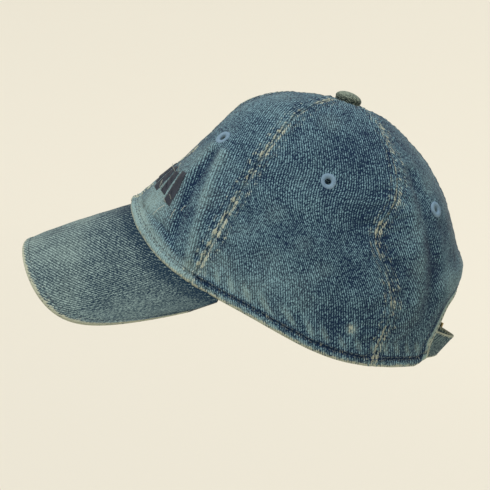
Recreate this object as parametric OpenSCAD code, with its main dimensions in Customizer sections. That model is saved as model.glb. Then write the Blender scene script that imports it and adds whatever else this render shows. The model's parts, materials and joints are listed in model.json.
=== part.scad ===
// Soft six-panel baseball cap in washed denim, with a metal clasp on its back strap.
// Millimetres, +Z up. The bill points to -Y and the wearer's left is +X.
// The origin is the centre of the head opening, level with the lowest stretch of the side hem.

/* [Crown] */
// Height of the crown above the lowest stretch of the hem
crown_height = 134; // [126:1:142]
// Reach of the hem from the origin to the bill seam at the centre front
front_reach = 99; // [96:1:103]
// Reach of the hem from the origin to the centre back
back_reach = 102; // [99:1:106]
// Half of the crown's width at the hem
side_reach = 76; // [74:1:80]
// Height of the bill seam at the centre front
front_rise = 35; // [31:1:38]
// Height of the hem at the centre back
back_rise = 10.5; // [9:0.5:12]
// How far the side hem sags between the bill's corner and the back
hem_dip = 10.2; // [8:0.2:11]
// Thickness of the denim panels
panel_t = 1.2; // [1:0.1:1.4]

/* [Back opening] */
// Height of the arch above the hem
arch_height = 54; // [48:1:58]
// Width of the stitched facing round the arch
facing_w = 8; // [6:1:9]

/* [Bill] */
// Length of the bill along its centre line
bill_len = 68; // [62:1:74]
// Radius that the bill is bent to
bill_bend = 69; // [66:1:76]
// Slope of the bill below the horizontal, in degrees
bill_slope = 36; // [32:1:40]
// Thickness of the stiff board inside the bill
board_t = 1.8; // [1.4:0.1:2]
// Thickness of the bill's denim covers
cover_t = 0.8; // [0.6:0.1:0.9]

/* [Strap and clasp] */
// Width of the back strap
strap_w = 19; // [17:1:20]
// Thickness of the folded strap
strap_t = 1.4; // [1.2:0.1:1.5]
// Angle that the clasp's lever stands open, in degrees
lever_angle = 0; // [0:5:100]

/* [Trim] */
// Outer diameter of a stitched eyelet
eyelet_d = 9.6; // [9:0.2:10.4]
// Diameter of the hole in an eyelet
eyelet_hole_d = 3.6; // [3:0.2:4]
// Diameter of the covered button on top
button_d = 16; // [14:0.5:17]

/* [Hidden] */

$fn = 64;
denim = [0.30, 0.40, 0.46];
faded_denim = [0.42, 0.51, 0.53];
thread_blue = [0.47, 0.57, 0.65];
navy = [0.10, 0.13, 0.20];
cotton = [0.80, 0.78, 0.68];
brass = [0.55, 0.46, 0.30];

// Meridians as fractions: how far out, and how far up from the hem to the top.
FRONT_SHAPE = [[0, 1], [0.24, 0.98], [0.51, 0.855], [0.70, 0.61], [0.83, 0.38], [0.925, 0.18], [1, 0]];
BACK_SHAPE = [[0, 1], [0.29, 0.985], [0.57, 0.86], [0.775, 0.69], [0.92, 0.48], [0.975, 0.255], [1, 0]];
SIDE_SHAPE = [[0, 1], [0.29, 0.985], [0.565, 0.885], [0.765, 0.705], [0.895, 0.48], [0.98, 0.22], [1, 0]];
side_rise = 11;        // hem height at the sides before the sag
oval_power = 2.3;      // superellipse power of the crown's plan
dip_centre = 22;       // where the hem sags most, in degrees behind the side
dip_spread = 30;
front_seam = -27;      // angle of the seam between the front and side panels
back_seam = 29;        // angle of the seam between the side and back panels, at the top
back_seam_run = 5.5;   // how much further back that seam is at the hem
hub_t = 0.02;          // where the panels start, just off the top
panel_cols = 10;
panel_rows = 14;

// ---- the crown as a surface: angle from the wearer's left, and t from the top to the hem

// Catmull-Rom spline through a list of points, for t from 0 to 1
function spline(p, t) =
    let (n = len(p) - 1, x = min(max(t, 0), 1) * n, i = min(floor(x), n - 1), f = x - i,
         a = i == 0 ? [-p[1][0], p[1][1]] : p[i - 1], b = p[i], c = p[i + 1],
         d = i == n - 1 ? 2 * p[n] - p[n - 1] : p[i + 2])
    0.5 * (2 * b + (c - a) * f + (2 * a - 5 * b + 4 * c - d) * f * f
           + (3 * b - a - 3 * c + d) * f * f * f);

function oval(v) = sign(v) * pow(abs(v), 2 / oval_power);

function crown_pt(phi, t) =
    let (c = oval(cos(phi)), s = oval(sin(phi)), front = s < 0,
         rise = front ? front_rise : back_rise,
         end = spline(front ? FRONT_SHAPE : BACK_SHAPE, t),
         side = spline(SIDE_SHAPE, t),
         w = pow(abs(s), 2 * (front ? 1 + pow(t, 3) : 1)),
         z_end = rise + end[1] * (crown_height - rise),
         z_side = side_rise + side[1] * (crown_height - side_rise),
         lag = (asin(s) - dip_centre) / dip_spread)
    [side_reach * side[0] * c,
     (front ? front_reach : back_reach) * end[0] * s,
     z_side * (1 - w) + z_end * w - hem_dip * pow(t, 4) * exp(-lag * lag)];

function unit(v) = v / norm(v);

// Outward normal, by differences
function crown_normal(phi, t) =
    let (da = crown_pt(phi + 0.5, t) - crown_pt(phi - 0.5, t),
         dt = crown_pt(phi, min(t + 0.01, 1)) - crown_pt(phi, max(t - 0.01, 0.001)))
    unit(cross(dt, da));

// A point that lies depth inside the crown's outer face
function crown_in(phi, t, depth) = crown_pt(phi, t) - depth * crown_normal(phi, t);

// ---- closed sheets between two grids of points

// Skins two equal grids, outer and inner, and closes the four edges
module sheet_solid(outer, inner) {
    rows = len(outer);
    cols = len(outer[0]);
    size = rows * cols;
    points = [for (g = [outer, inner]) for (r = g) for (p = r) p];
    function at(i, j, k) = k * size + i * cols + j;
    skins = [for (i = [0:rows - 2]) for (j = [0:cols - 2])
             each [[at(i, j, 0), at(i + 1, j, 0), at(i + 1, j + 1, 0)],
                   [at(i, j, 0), at(i + 1, j + 1, 0), at(i, j + 1, 0)],
                   [at(i, j, 1), at(i + 1, j + 1, 1), at(i + 1, j, 1)],
                   [at(i, j, 1), at(i, j + 1, 1), at(i + 1, j + 1, 1)]]];
    sides = [for (i = [0:rows - 2])
             each [[at(i, 0, 0), at(i, 0, 1), at(i + 1, 0, 1)],
                   [at(i, 0, 0), at(i + 1, 0, 1), at(i + 1, 0, 0)],
                   [at(i, cols - 1, 0), at(i + 1, cols - 1, 1), at(i, cols - 1, 1)],
                   [at(i, cols - 1, 0), at(i + 1, cols - 1, 0), at(i + 1, cols - 1, 1)]]];
    ends = [for (j = [0:cols - 2])
            each [[at(0, j, 0), at(0, j + 1, 1), at(0, j, 1)],
                  [at(0, j, 0), at(0, j + 1, 0), at(0, j + 1, 1)],
                  [at(rows - 1, j, 0), at(rows - 1, j, 1), at(rows - 1, j + 1, 1)],
                  [at(rows - 1, j, 0), at(rows - 1, j + 1, 1), at(rows - 1, j + 1, 0)]]];
    polyhedron(points = points, faces = concat(skins, sides, ends));
}

// A sheet that follows the crown between two depths; grid holds rows of [phi, t]
module crown_sheet(grid, top, bottom) {
    sheet_solid([for (row = grid) [for (q = row) crown_in(q[0], q[1], top)]],
                [for (row = grid) [for (q = row) crown_in(q[0], q[1], bottom)]]);
}

// ---- crown panels

function back_seam_at(t) = back_seam + back_seam_run * t * t;

// The arch of the back opening: k = 1 is its edge, more lies outside it
arch_half = 27;        // half width of the arch, in degrees of the crown's angle
arch_t = arch_height / (crown_height - back_rise) * 0.56;
function arch(theta, k) = [90 - arch_half * k * cos(theta), 1 - arch_t * k * sin(theta)];

function rows_between(t0, t1) = [for (j = [0:panel_rows]) t0 + (t1 - t0) * j / panel_rows];

// Panel between two seams; each seam is an angle at the top and how much it runs on by the hem
function plain_grid(a, a_run, b, b_run) =
    [for (i = [0:panel_cols]) [for (t = rows_between(hub_t, 1))
        let (a_t = a + a_run * t * t, b_t = b + b_run * t * t) [a_t + (b_t - a_t) * i / panel_cols, t]]];

// Back panel: whole beside the arch, then cut short by it
hem_cols = 5;
arch_cols = 7;
function back_share(theta) =
    let (edge = arch(theta, 1), s = back_seam_at(edge[1])) (edge[0] - s) / (90 - s);
back_columns = concat([for (i = [0:hem_cols - 1]) [back_share(0) * i / hem_cols, 1]],
                      [for (i = [0:arch_cols])
                          let (th = 90 * i / arch_cols) [back_share(th), arch(th, 1)[1]]]);
back_grid = [for (c = back_columns) [for (t = rows_between(hub_t, c[1]))
             let (s = back_seam_at(t)) [s + (90 - s) * c[0], t]]];

// Where each eyelet sits, as angle and t
EYELET_FRONT = [-57, 0.525];
EYELET_SIDE = [1, 0.535];
EYELET_BACK = [56, 0.50];

module on_crown(q, depth = 0) {
    n = crown_normal(q[0], q[1]);
    translate(crown_in(q[0], q[1], depth)) rotate([0, acos(n[2]), atan2(n[1], n[0])]) children();
}

module eyelet_bore(q) {
    on_crown(q) cylinder(d = eyelet_d + 0.04, h = 12, center = true);
}

module panel(grid, eyelet_at) {
    color(denim) difference() {
        crown_sheet(grid, 0, panel_t);
        eyelet_bore(eyelet_at);
    }
}

module front_panel() panel(plain_grid(-90, 0, front_seam, 0), EYELET_FRONT);
module side_panel() panel(plain_grid(front_seam, 0, back_seam, back_seam_run), EYELET_SIDE);
module back_panel() panel(back_grid, EYELET_BACK);

// ---- trim on the crown's inside

tape_depth = panel_t + 0.3;
tape_t = 0.6;
tape_half = 6;

// Tape over a seam, narrowed towards the top so that the six tapes clear each other
module seam_tape(phi, run, t_end) {
    grid = [for (k = [-1, 0, 1]) [for (t = rows_between(0.12, t_end))
        let (r = norm([crown_pt(phi, t)[0], crown_pt(phi, t)[1]]),
             half = min(24, tape_half / r * 180 / PI)) [phi + run * t * t + k * half, t]]];
    color(cotton) crown_sheet(grid, tape_depth, tape_depth + tape_t);
}

band_t = 1.0;
band_w = 32;
band_cols = 56;
band_end = 62;         // angle of the band's two ends, just outside the back opening

// The sweatband stands further in towards the back, where the strap passes behind it
band_front_depth = 2.4;
band_back_depth = 6.8;
function band_depth(phi) =
    let (f = min(max((asin(oval(sin(phi))) - 16) / 18, 0), 1))
    band_front_depth + (band_back_depth - band_front_depth) * f * f * (3 - 2 * f);

function band_grid(depth) =
    [for (i = [0:band_cols])
        let (phi = band_end - (180 + 2 * band_end) * i / band_cols)
        [for (k = [0:3])
            let (t = 0.985 - k / 3 * band_w / 170) crown_in(phi, t, band_depth(phi) + depth)]];

module sweatband() {
    color(cotton) sheet_solid(band_grid(0), band_grid(band_t));
}

module opening_facing() {
    k_outer = 1 + facing_w / 36;
    grid = [for (k = [1.01, (1.01 + k_outer) / 2, k_outer])
            [for (i = [0:30]) arch(180 - 6 * i, k)]];
    color(denim) crown_sheet([for (r = grid) [for (q = r) [q[0], min(q[1], 0.995)]]],
                             panel_t + 0.25, panel_t + 0.8);
}

// Blank label, sewn in behind the sweatband at the wearer's left
module care_label() {
    grid = [for (i = [0:4]) [for (k = [0:4]) [8 + 3 * i, 0.70 + 0.04 * k]]];
    color("white") crown_sheet(grid, 1.9, 2.1);
}

// Row of leaning satin-stitch bars, a plain pattern
bar_count = 9;
bar_pitch = 7.9;       // in degrees of the crown's angle
bar_half = 2.9;
bar_lean = -1;
bar_mid_t = 0.77;
bar_tall = 0.13;
bar_short = 0.10;
function bar_grid(i) =
    [for (u = [-1:1]) [for (v = [-1.5:1.5])
        [-90 + (i - (bar_count - 1) / 2) * bar_pitch + u * bar_half - v * bar_lean,
         bar_mid_t + v / 3 * (i % 2 == 0 ? bar_tall : bar_short)]]];

module front_embroidery() {
    color(navy) for (i = [0:bar_count - 1]) crown_sheet(bar_grid(i), -0.7, -0.05);
}

// ---- eyelets and the button

module eyelet(q) {
    color(thread_blue) on_crown(q, panel_t / 2) rotate_extrude() {
        translate([eyelet_hole_d / 2, -panel_t / 2 - 0.5])
            square([(eyelet_d - eyelet_hole_d) / 2, panel_t + 1]);
    }
}

button_gap = 1.2;      // under the button, filled by the folded edges of the six seams
button_rise = 6.2;
shell_t = 0.7;
stud_d = 3.6;
button_z = crown_height + button_gap;

// Cap of a sphere that is d wide and h high, standing on z = 0
module dome(d, h) {
    r = (d * d / 4 + h * h) / (2 * h);
    intersection() {
        translate([0, 0, h - r]) sphere(r, $fn = 48);
        cylinder(d = d + 1, h = h + 1);
    }
}

module button_cover() {
    color(faded_denim) translate([0, 0, button_z]) {
        difference() {
            dome(button_d, button_rise);
            translate([0, 0, -0.01]) dome(button_d - 2 * shell_t, button_rise - shell_t);
        }
    }
}

module button_shell() {
    color("silver") translate([0, 0, button_z]) {
        difference() {
            dome(button_d - 2 * shell_t - 0.1, button_rise - shell_t - 0.05);
            translate([0, 0, -0.01]) dome(button_d - 4 * shell_t, button_rise - 2 * shell_t - 0.1);
        }
    }
}

stud_top = button_rise - 2 * shell_t - 1.3;
washer_t = 0.8;
washer_z = crown_height - panel_t - 0.5 - washer_t;

module button_stud() {
    color("silver") {
        translate([0, 0, washer_z - 0.8]) cylinder(d = stud_d, h = button_z + stud_top - washer_z + 0.8);
        translate([0, 0, washer_z - 1.2]) cylinder(d = stud_d + 2, h = 0.8);
        translate([0, 0, button_z + stud_top - 0.8]) cylinder(d = stud_d + 3, h = 0.8);
    }
}

module button_backing_washer() {
    color("silver") translate([0, 0, washer_z]) difference() {
        cylinder(d = 12, h = washer_t);
        translate([0, 0, -1]) cylinder(d = stud_d + 0.1, h = washer_t + 2);
    }
}

// ---- the bill, three layers bent round one slanted axis

bill_corner = -15;     // crown angle of the bill's corner
rim_power = 2.15;
rim_flare = 0.23;
tip_droop = 3.8;
bill_tuck = 1.5;       // how far the bill's inner edge sits inside the crown's outer face
bill_drop = 1.6;       // and how far below the hem
bill_cols = 32;
bill_rows = 8;

along = [0, -cos(bill_slope), -sin(bill_slope)];
lift = [0, -sin(bill_slope), cos(bill_slope)];
function bill_root(a) = crown_in(-90 + a * (90 + bill_corner), 1, bill_tuck) - [0, 0, bill_drop];
bill_start = bill_root(0);
// A root point as [angle round the bend, distance from its axis, place along it]
function bent(p) =
    let (v = p - bill_start, up = v * lift + bill_bend)
    [atan2(v[0], up), norm([v[0], up]), v * along];
corner = bent(bill_root(1));

// a runs across from the right corner to the left one, s from the crown to the rim
function bill_mid(a, s) =
    let (root = bent(bill_root(a)),
         u = pow(abs(a), 0.8),
         rim_angle = sign(a) * corner[0] * (u + rim_flare * sin(180 * u)),
         rim_radius = bill_bend + (corner[1] - bill_bend) * pow(u, 4),
         rim_along = corner[2] + (bill_len - corner[2]) * pow(1 - pow(u, rim_power), 1 / rim_power),
         angle = root[0] * (1 - s) + rim_angle * s,
         radius = root[1] * (1 - s) + rim_radius * s,
         q = root[2] * (1 - s) + rim_along * s,
         drop = tip_droop * pow(max(q / bill_len, 0), 2.5))
    bill_start + [radius * sin(angle), 0, 0] + q * along
        + (radius * cos(angle) - bill_bend - drop) * lift;

function bill_pt(a, s, h) =
    let (da = bill_mid(a + 0.005, s) - bill_mid(a - 0.005, s),
         ds = bill_mid(a, min(s + 0.01, 1)) - bill_mid(a, max(s - 0.01, 0)))
    bill_mid(a, s) + h * unit(cross(ds, da));

bill_span = 0.985;
cover_gap = 0.1;
board_end = 0.97;

function bill_grid(s_list, heights) =
    [for (i = [-bill_cols / 2:bill_cols / 2])
        [for (j = [0:len(s_list) - 1]) bill_pt(bill_span * 2 * i / bill_cols, s_list[j], heights[j])]];

cover_s = concat([for (j = [0:bill_rows - 1]) board_end * j / (bill_rows - 1)], [1]);
// Height of the outer skin: full over the board and half way down at the rim
cover_out = [for (j = [0:bill_rows]) board_t / 2 + cover_gap + cover_t * (j == bill_rows ? 0.2 : 1)];
cover_in = [for (j = [0:bill_rows]) j == bill_rows ? cover_gap / 2 : board_t / 2 + cover_gap];

module bill_top_cover() {
    color(faded_denim) sheet_solid(bill_grid(cover_s, cover_out), bill_grid(cover_s, cover_in));
}

module bill_bottom_cover() {
    color(faded_denim) sheet_solid(bill_grid(cover_s, -cover_in), bill_grid(cover_s, -cover_out));
}

module bill_board() {
    s_list = [for (j = [0:bill_rows - 2]) (board_end - 0.01) * j / (bill_rows - 2)];
    half = [for (s = s_list) board_t / 2];
    color("gray") sheet_solid(bill_grid(s_list, half), bill_grid(s_list, -half));
}

// ---- strap and clasp, all round one upright axis behind the head

strap_r = 72;                               // radius of the crown's back round that axis
strap_axis_y = back_reach - 0.4 - strap_r;
strap_z = back_rise + 1;
strap_out = strap_r - 3.3;                  // outer face of the strap at its lower edge
lean = 1.4;                                 // how much nearer the axis the upper edge is
strap_from = -55;                           // hidden end, behind the left back panel
strap_to = 54;                              // free end, behind the right back panel

// Band round the strap's axis, from one angle to another, measured from +Y towards -X
module band_arc(r_out, thick, z0, w, lean_in, from, to) {
    translate([0, strap_axis_y, 0]) rotate([0, 0, 90 + from]) rotate_extrude(angle = to - from, $fn = 96)
        polygon([[r_out - thick, z0], [r_out, z0],
                 [r_out - lean_in, z0 + w], [r_out - lean_in - thick, z0 + w]]);
}

module strap() {
    color(denim) band_arc(strap_out, strap_t, strap_z, strap_w, lean, strap_from, strap_to);
}

// The clasp's own axes: X along the strap towards the tab, Y outward, Z up
clasp_turn = 17.5;
module at_clasp() {
    translate([0, strap_axis_y, 0]) rotate([0, 0, clasp_turn]) mirror([1, 0, 0]) children();
}

cheek_t = 1.1;
cheek_gap = 0.5;
cheek_low = strap_z - cheek_gap - cheek_t;
cheek_high = strap_z + strap_w + cheek_gap;
clasp_h = cheek_high + cheek_t - cheek_low;
base_t = 0.8;
base_y = strap_out - strap_t - lean - 1.5 - base_t;
clasp_from = -6.5;
clasp_to = 12;
bar_d = 1.6;
bar_x = 10.6;
bar_y = strap_out + 1.15;
pin_d = 1.6;
pin_x = -1.5;
pin_y = strap_out + 2.6;
cheek_top = pin_y + 1.7;

module clasp_frame() {
    color(brass) at_clasp() difference() {
        union() {
            translate([clasp_from, base_y, cheek_low]) cube([clasp_to - clasp_from, base_t, clasp_h]);
            for (z = [cheek_low, cheek_high])
                translate([clasp_from, base_y, z])
                    cube([clasp_to - clasp_from, cheek_top - base_y, cheek_t]);
            translate([bar_x, bar_y, cheek_low + 0.2]) cylinder(d = bar_d, h = clasp_h - 0.4);
        }
        translate([pin_x, pin_y, cheek_low - 1]) cylinder(d = pin_d, h = clasp_h + 2);
    }
}

module clasp_pin() {
    color(brass) at_clasp() translate([pin_x, pin_y, cheek_low]) cylinder(d = pin_d, h = clasp_h);
}

lever_gap = 0.35;      // end play between the lever and each cheek
lever_z = cheek_low + cheek_t + lever_gap;
lever_h = clasp_h - 2 * cheek_t - 2 * lever_gap;
lever_t = 0.9;
lever_len = 9.6;
knuckle_d = 3.4;
tooth_count = 6;

module clasp_lever() {
    color(brass) at_clasp() translate([pin_x, pin_y, 0]) rotate([0, 0, -lever_angle]) difference() {
        union() {
            translate([0, 0, lever_z]) cylinder(d = knuckle_d, h = lever_h);
            translate([-lever_len, knuckle_d / 2 - lever_t, lever_z]) cube([lever_len, lever_t, lever_h]);
            translate([-lever_len, knuckle_d / 2 - lever_t / 2, lever_z]) cylinder(d = 1.5, h = lever_h);
            for (i = [0:tooth_count - 1])
                translate([0, 0, lever_z + (i + 0.5) * lever_h / tooth_count - 0.7])
                    linear_extrude(1.4) polygon([[-1.5, -0.8], [0, -2.15], [1.5, -0.8]]);
        }
        translate([0, 0, lever_z - 1]) cylinder(d = pin_d + 0.1, h = lever_h + 2);
    }
}

// Fabric tab from behind the right back panel, folded round the clasp's end bar
tab_to = 41;
tab_out = strap_out + 1.2;
tab_in = strap_out + 0.4;
bar_r = norm([bar_x, bar_y]);
bar_angle = clasp_turn + atan2(bar_x, bar_y);
loop_r = bar_r - tab_in;
tab_steps = 14;
function round_strap(r, angle) = [-r * sin(angle), r * cos(angle)];

module clasp_tab() {
    centre = round_strap(bar_r, bar_angle);
    meet = -asin((bar_r - tab_out) / loop_r);    // where the loop runs into the tab's outer face
    meet_angle = bar_angle + asin(loop_r * cos(meet) / tab_out);
    outer = [for (i = [0:tab_steps]) round_strap(tab_out, tab_to + (meet_angle - tab_to) * i / tab_steps)];
    loop = [for (i = [1:tab_steps])
            let (q = meet + (270 - meet) * i / tab_steps - bar_angle) centre + loop_r * [-cos(q), sin(q)]];
    inner = [for (i = [1:tab_steps]) round_strap(tab_in, bar_angle + (tab_to - bar_angle) * i / tab_steps)];
    color(denim) translate([0, strap_axis_y, strap_z + 0.2]) linear_extrude(strap_w - 0.4) difference() {
        polygon(concat(outer, loop, inner));
        translate(centre) circle(d = bar_d + 0.04);
    }
}

front_panel();  // crown_panel_front_left
mirror([1, 0, 0]) front_panel();  // crown_panel_front_right
side_panel();  // crown_panel_side_left
mirror([1, 0, 0]) side_panel();  // crown_panel_side_right
back_panel();  // crown_panel_back_left
mirror([1, 0, 0]) back_panel();  // crown_panel_back_right
seam_tape(-90, 0, 0.98);  // seam_tape_front
seam_tape(front_seam, 0, 0.98);  // seam_tape_front_left
mirror([1, 0, 0]) seam_tape(front_seam, 0, 0.98);  // seam_tape_front_right
seam_tape(back_seam, back_seam_run, 0.98);  // seam_tape_back_left
mirror([1, 0, 0]) seam_tape(back_seam, back_seam_run, 0.98);  // seam_tape_back_right
seam_tape(90, 0, arch(90, 1.28)[1]);  // seam_tape_back
sweatband();
opening_facing();
care_label();
front_embroidery();
eyelet(EYELET_FRONT);  // eyelet_front_left
mirror([1, 0, 0]) eyelet(EYELET_FRONT);  // eyelet_front_right
eyelet(EYELET_SIDE);  // eyelet_side_left
mirror([1, 0, 0]) eyelet(EYELET_SIDE);  // eyelet_side_right
eyelet(EYELET_BACK);  // eyelet_back_left
mirror([1, 0, 0]) eyelet(EYELET_BACK);  // eyelet_back_right
button_cover();
button_shell();
button_stud();
button_backing_washer();
bill_top_cover();
bill_board();
bill_bottom_cover();
strap();
clasp_tab();
clasp_frame();
clasp_pin();
clasp_lever();
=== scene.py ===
"""Washed denim baseball cap: cloth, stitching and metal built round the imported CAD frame."""

import json
import math

import bpy
import numpy as np
from mathutils import Matrix, Vector


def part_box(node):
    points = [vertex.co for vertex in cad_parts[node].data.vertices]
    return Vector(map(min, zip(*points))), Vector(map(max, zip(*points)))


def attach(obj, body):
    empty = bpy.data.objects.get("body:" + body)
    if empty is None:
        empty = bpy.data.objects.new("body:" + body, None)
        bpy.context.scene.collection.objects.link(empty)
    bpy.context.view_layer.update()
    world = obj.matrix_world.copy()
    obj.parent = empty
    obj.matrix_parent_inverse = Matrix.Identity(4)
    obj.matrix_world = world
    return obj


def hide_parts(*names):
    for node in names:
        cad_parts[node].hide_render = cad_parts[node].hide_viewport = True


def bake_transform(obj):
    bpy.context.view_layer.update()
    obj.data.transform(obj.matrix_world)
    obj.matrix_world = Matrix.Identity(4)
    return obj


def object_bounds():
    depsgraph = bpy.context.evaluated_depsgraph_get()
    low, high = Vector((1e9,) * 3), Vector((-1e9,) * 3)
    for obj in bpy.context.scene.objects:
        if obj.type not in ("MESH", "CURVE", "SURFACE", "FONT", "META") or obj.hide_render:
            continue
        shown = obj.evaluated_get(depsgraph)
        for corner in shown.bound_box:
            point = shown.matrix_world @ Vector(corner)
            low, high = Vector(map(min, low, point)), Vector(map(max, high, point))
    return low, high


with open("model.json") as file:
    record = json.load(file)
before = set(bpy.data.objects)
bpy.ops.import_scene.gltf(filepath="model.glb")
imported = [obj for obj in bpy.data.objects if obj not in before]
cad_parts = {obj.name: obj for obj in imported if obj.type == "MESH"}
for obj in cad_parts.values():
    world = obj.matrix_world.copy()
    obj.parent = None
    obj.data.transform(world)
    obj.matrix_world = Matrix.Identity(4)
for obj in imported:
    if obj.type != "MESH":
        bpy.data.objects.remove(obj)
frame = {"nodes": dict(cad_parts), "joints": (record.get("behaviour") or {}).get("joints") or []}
cad_bounds = [list(corner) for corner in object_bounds()]

MM = 0.001
SEED = 11


# ---- numbers read from the frame, in millimetres


def corner_point(node, axis, sign):
    """The CAD vertex that lies furthest along an axis."""
    points = np.array([v.co for v in frame["nodes"][node].data.vertices]) / MM
    return points[np.argmax(points[:, axis] * sign)]


JOINTS = {j["name"]: j for j in frame["joints"]}
STRAP_AXIS_Y = JOINTS["strap_adjust"]["pos_m"][1] / MM
HEM_FRONT = corner_point("crown_panel_front_left", 1, -1)
FRONT_REACH, FRONT_RISE = -HEM_FRONT[1], HEM_FRONT[2]
SIDE_REACH = corner_point("crown_panel_side_left", 0, 1)[0]
BACK_REACH = STRAP_AXIS_Y + 72.4
BACK_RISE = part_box("strap")[0].z / MM - 1
BUTTON_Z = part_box("button_cover")[0].z / MM + 0.01
CROWN_HEIGHT = BUTTON_Z - 1.2

# The crown's shape, as in the CAD: meridians as fractions out and up, and the hem's sag
FRONT_SHAPE = [[0, 1], [0.24, 0.98], [0.51, 0.855], [0.70, 0.61], [0.83, 0.38], [0.925, 0.18], [1, 0]]
BACK_SHAPE = [[0, 1], [0.29, 0.985], [0.57, 0.86], [0.775, 0.69], [0.92, 0.48], [0.975, 0.255], [1, 0]]
SIDE_SHAPE = [[0, 1], [0.29, 0.985], [0.565, 0.885], [0.765, 0.705], [0.895, 0.48], [0.98, 0.22], [1, 0]]
SIDE_RISE, OVAL_POWER = 11, 2.3
# Lengths from the crown's top down to the hem: at the side, along a seam, at the sweatband and the back
SIDE_RUN, SEAM_RUN, BAND_RUN, BACK_RUN = 172, 175, 170, 168
HEM_DIP, DIP_CENTRE, DIP_SPREAD = 10.2, 22, 30
FRONT_SEAM, BACK_SEAM, BACK_SEAM_RUN = -27, 29, 5.5
ARCH_HALF, ARCH_T, ARCH_SIZE = 27, 54 / 123.5 * 0.56, 38
PANEL_T = 1.2
EYELET_HOLE, EYELET_RING = 3.0, 3.3
EYELETS = {"front": (-57, 0.525), "side": (1, 0.535), "back": (56, 0.50)}


def spline(points, t):
    p = np.array(points, float)
    n = len(p) - 1
    x = np.clip(t, 0, 1) * n
    i = np.minimum(x.astype(int), n - 1)
    f = (x - i)[..., None]
    e = np.vstack([[-p[1, 0], p[1, 1]], p, 2 * p[-1] - p[-2]])
    a, b, c, d = e[i], e[i + 1], e[i + 2], e[i + 3]
    return 0.5 * (2 * b + (c - a) * f + (2 * a - 5 * b + 4 * c - d) * f**2 + (3 * b - a - 3 * c + d) * f**3)


def points_of(x, y, z):
    return np.stack(np.broadcast_arrays(x, y, z), -1)


def oval(v):
    return np.sign(v) * np.abs(v) ** (2 / OVAL_POWER)


def crown(phi, t):
    """Point of the crown's outer face at an angle from the wearer's left, and t from top to hem."""
    phi, t = np.broadcast_arrays(np.asarray(phi, float), np.asarray(t, float))
    c, s = oval(np.cos(np.radians(phi))), oval(np.sin(np.radians(phi)))
    front = s < 0
    rise = np.where(front, FRONT_RISE, BACK_RISE)
    end = np.where(front[..., None], spline(FRONT_SHAPE, t), spline(BACK_SHAPE, t))
    side = spline(SIDE_SHAPE, t)
    w = np.abs(s) ** (2 * np.where(front, 1 + t**3, 1.0))
    z_end = rise + end[..., 1] * (CROWN_HEIGHT - rise)
    z_side = SIDE_RISE + side[..., 1] * (CROWN_HEIGHT - SIDE_RISE)
    lag = (np.degrees(np.arcsin(np.clip(s, -1, 1))) - DIP_CENTRE) / DIP_SPREAD
    x = SIDE_REACH * side[..., 0] * c
    y = np.where(front, FRONT_REACH, BACK_REACH) * end[..., 0] * s
    z = z_side * (1 - w) + z_end * w - HEM_DIP * t**4 * np.exp(-(lag**2))
    return points_of(x, y, z)


def norm(v):
    return np.linalg.norm(v, axis=-1)


def unit(v):
    return v / np.maximum(norm(v)[..., None], 1e-9)


def crown_normal(phi, t):
    da = crown(phi + 0.5, t) - crown(phi - 0.5, t)
    dt = crown(phi, np.minimum(t + 0.01, 1)) - crown(phi, np.maximum(t - 0.01, 0.001))
    return unit(np.cross(dt, da))


def smooth(x, low, high):
    f = np.clip((x - low) / (high - low), 0, 1)
    return f * f * (3 - 2 * f)


def fall(x, low, high):
    return 1 - smooth(x, low, high)


def hill(d, width):
    return np.exp(-((d / width) ** 2))


def back_seam(t):
    bend = 2.4 * hill(t - 0.83, 0.09) - 9 * hill(t - 0.64, 0.10)
    return BACK_SEAM + BACK_SEAM_RUN * t**2 + bend * smooth(t, 0.2, 0.45)


def arch(theta, k):
    a = np.radians(theta)
    return 90 - ARCH_HALF * k * np.cos(a), 1 - ARCH_T * k * np.sin(a)


# ---- how the cloth lies: folds, dents and ripples


def wave_field(points, length, height, count, seed):
    """Sum of a few sines in random directions, the same ones each run."""
    rng = np.random.default_rng(SEED + seed)
    total = 0
    for _ in range(count):
        direction = rng.normal(size=3)
        direction /= np.linalg.norm(direction)
        step = length * rng.uniform(0.75, 1.35)
        total = total + np.sin(points @ direction * 2 * math.pi / step + rng.uniform(0, 6.3))
    return height * total / math.sqrt(count)


def near_line(points, stops):
    """Distance to a line over the crown through stops given as (angle, t)."""
    stops = np.array(stops, float)
    steps = np.linspace(0, len(stops) - 1, 12 * (len(stops) - 1) + 1)
    phi = np.interp(steps, range(len(stops)), stops[:, 0])
    t = np.interp(steps, range(len(stops)), stops[:, 1])
    line = crown(phi, t)
    best = np.full(points.shape[:-1], 1e9)
    for a, b in zip(line[:-1], line[1:]):
        along = np.clip((points - a) @ (b - a) / ((b - a) @ (b - a)), 0, 1)
        gap = norm(points - a - along[..., None] * (b - a))
        best = np.minimum(best, gap)
    return best


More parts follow.
